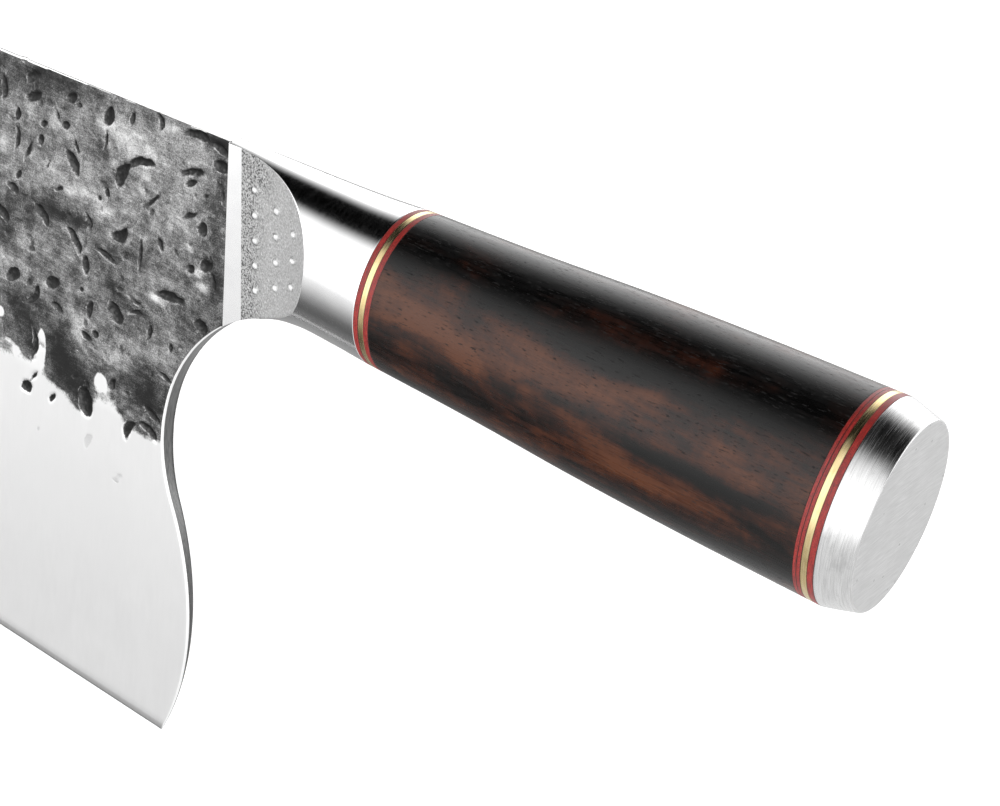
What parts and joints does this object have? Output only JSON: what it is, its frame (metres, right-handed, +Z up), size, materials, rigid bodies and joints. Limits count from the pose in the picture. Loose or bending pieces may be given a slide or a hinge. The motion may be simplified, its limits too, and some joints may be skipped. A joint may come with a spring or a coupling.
{
  "type": "meat cleaver",
  "caption": "Broad forged meat cleaver with a curved heel, a polished bolster and an oval wooden handle with ringed spacers and a steel end cap.",
  "frame": {"origin": "on the ground under the middle of the cleaver's box, as it stands on its cutting edge", "axes": "+X along the handle towards the butt, +Z up towards the spine, -Y and +Y out of the two sides of the blade"},
  "size_m": [0.3138, 0.0272, 0.1236],
  "materials": {
    "blade_steel": "dark forge scale above, bright ground steel below",
    "polished_steel": "satin polished stainless steel",
    "tang_steel": "plain milled steel",
    "red_fibre": "red vulcanised fibre sheet, sanded smooth",
    "brass": "sanded and polished brass sheet",
    "grip_wood": "dark figured hardwood, oiled and polished",
    "epoxy": "cured glue"
  },
  "bodies": {
    "root": {"blade": "blade_steel", "bolster": "polished_steel", "tang": "tang_steel", "front_liner_outer": "red_fibre", "front_brass_spacer": "brass", "front_liner_inner": "red_fibre", "grip": "grip_wood", "epoxy_bed": "epoxy", "rear_liner_inner_front": "red_fibre", "rear_liner_inner_back": "red_fibre", "rear_brass_spacer": "brass", "rear_liner_outer": "red_fibre", "end_cap": "polished_steel"}
  },
  "joints": []
}
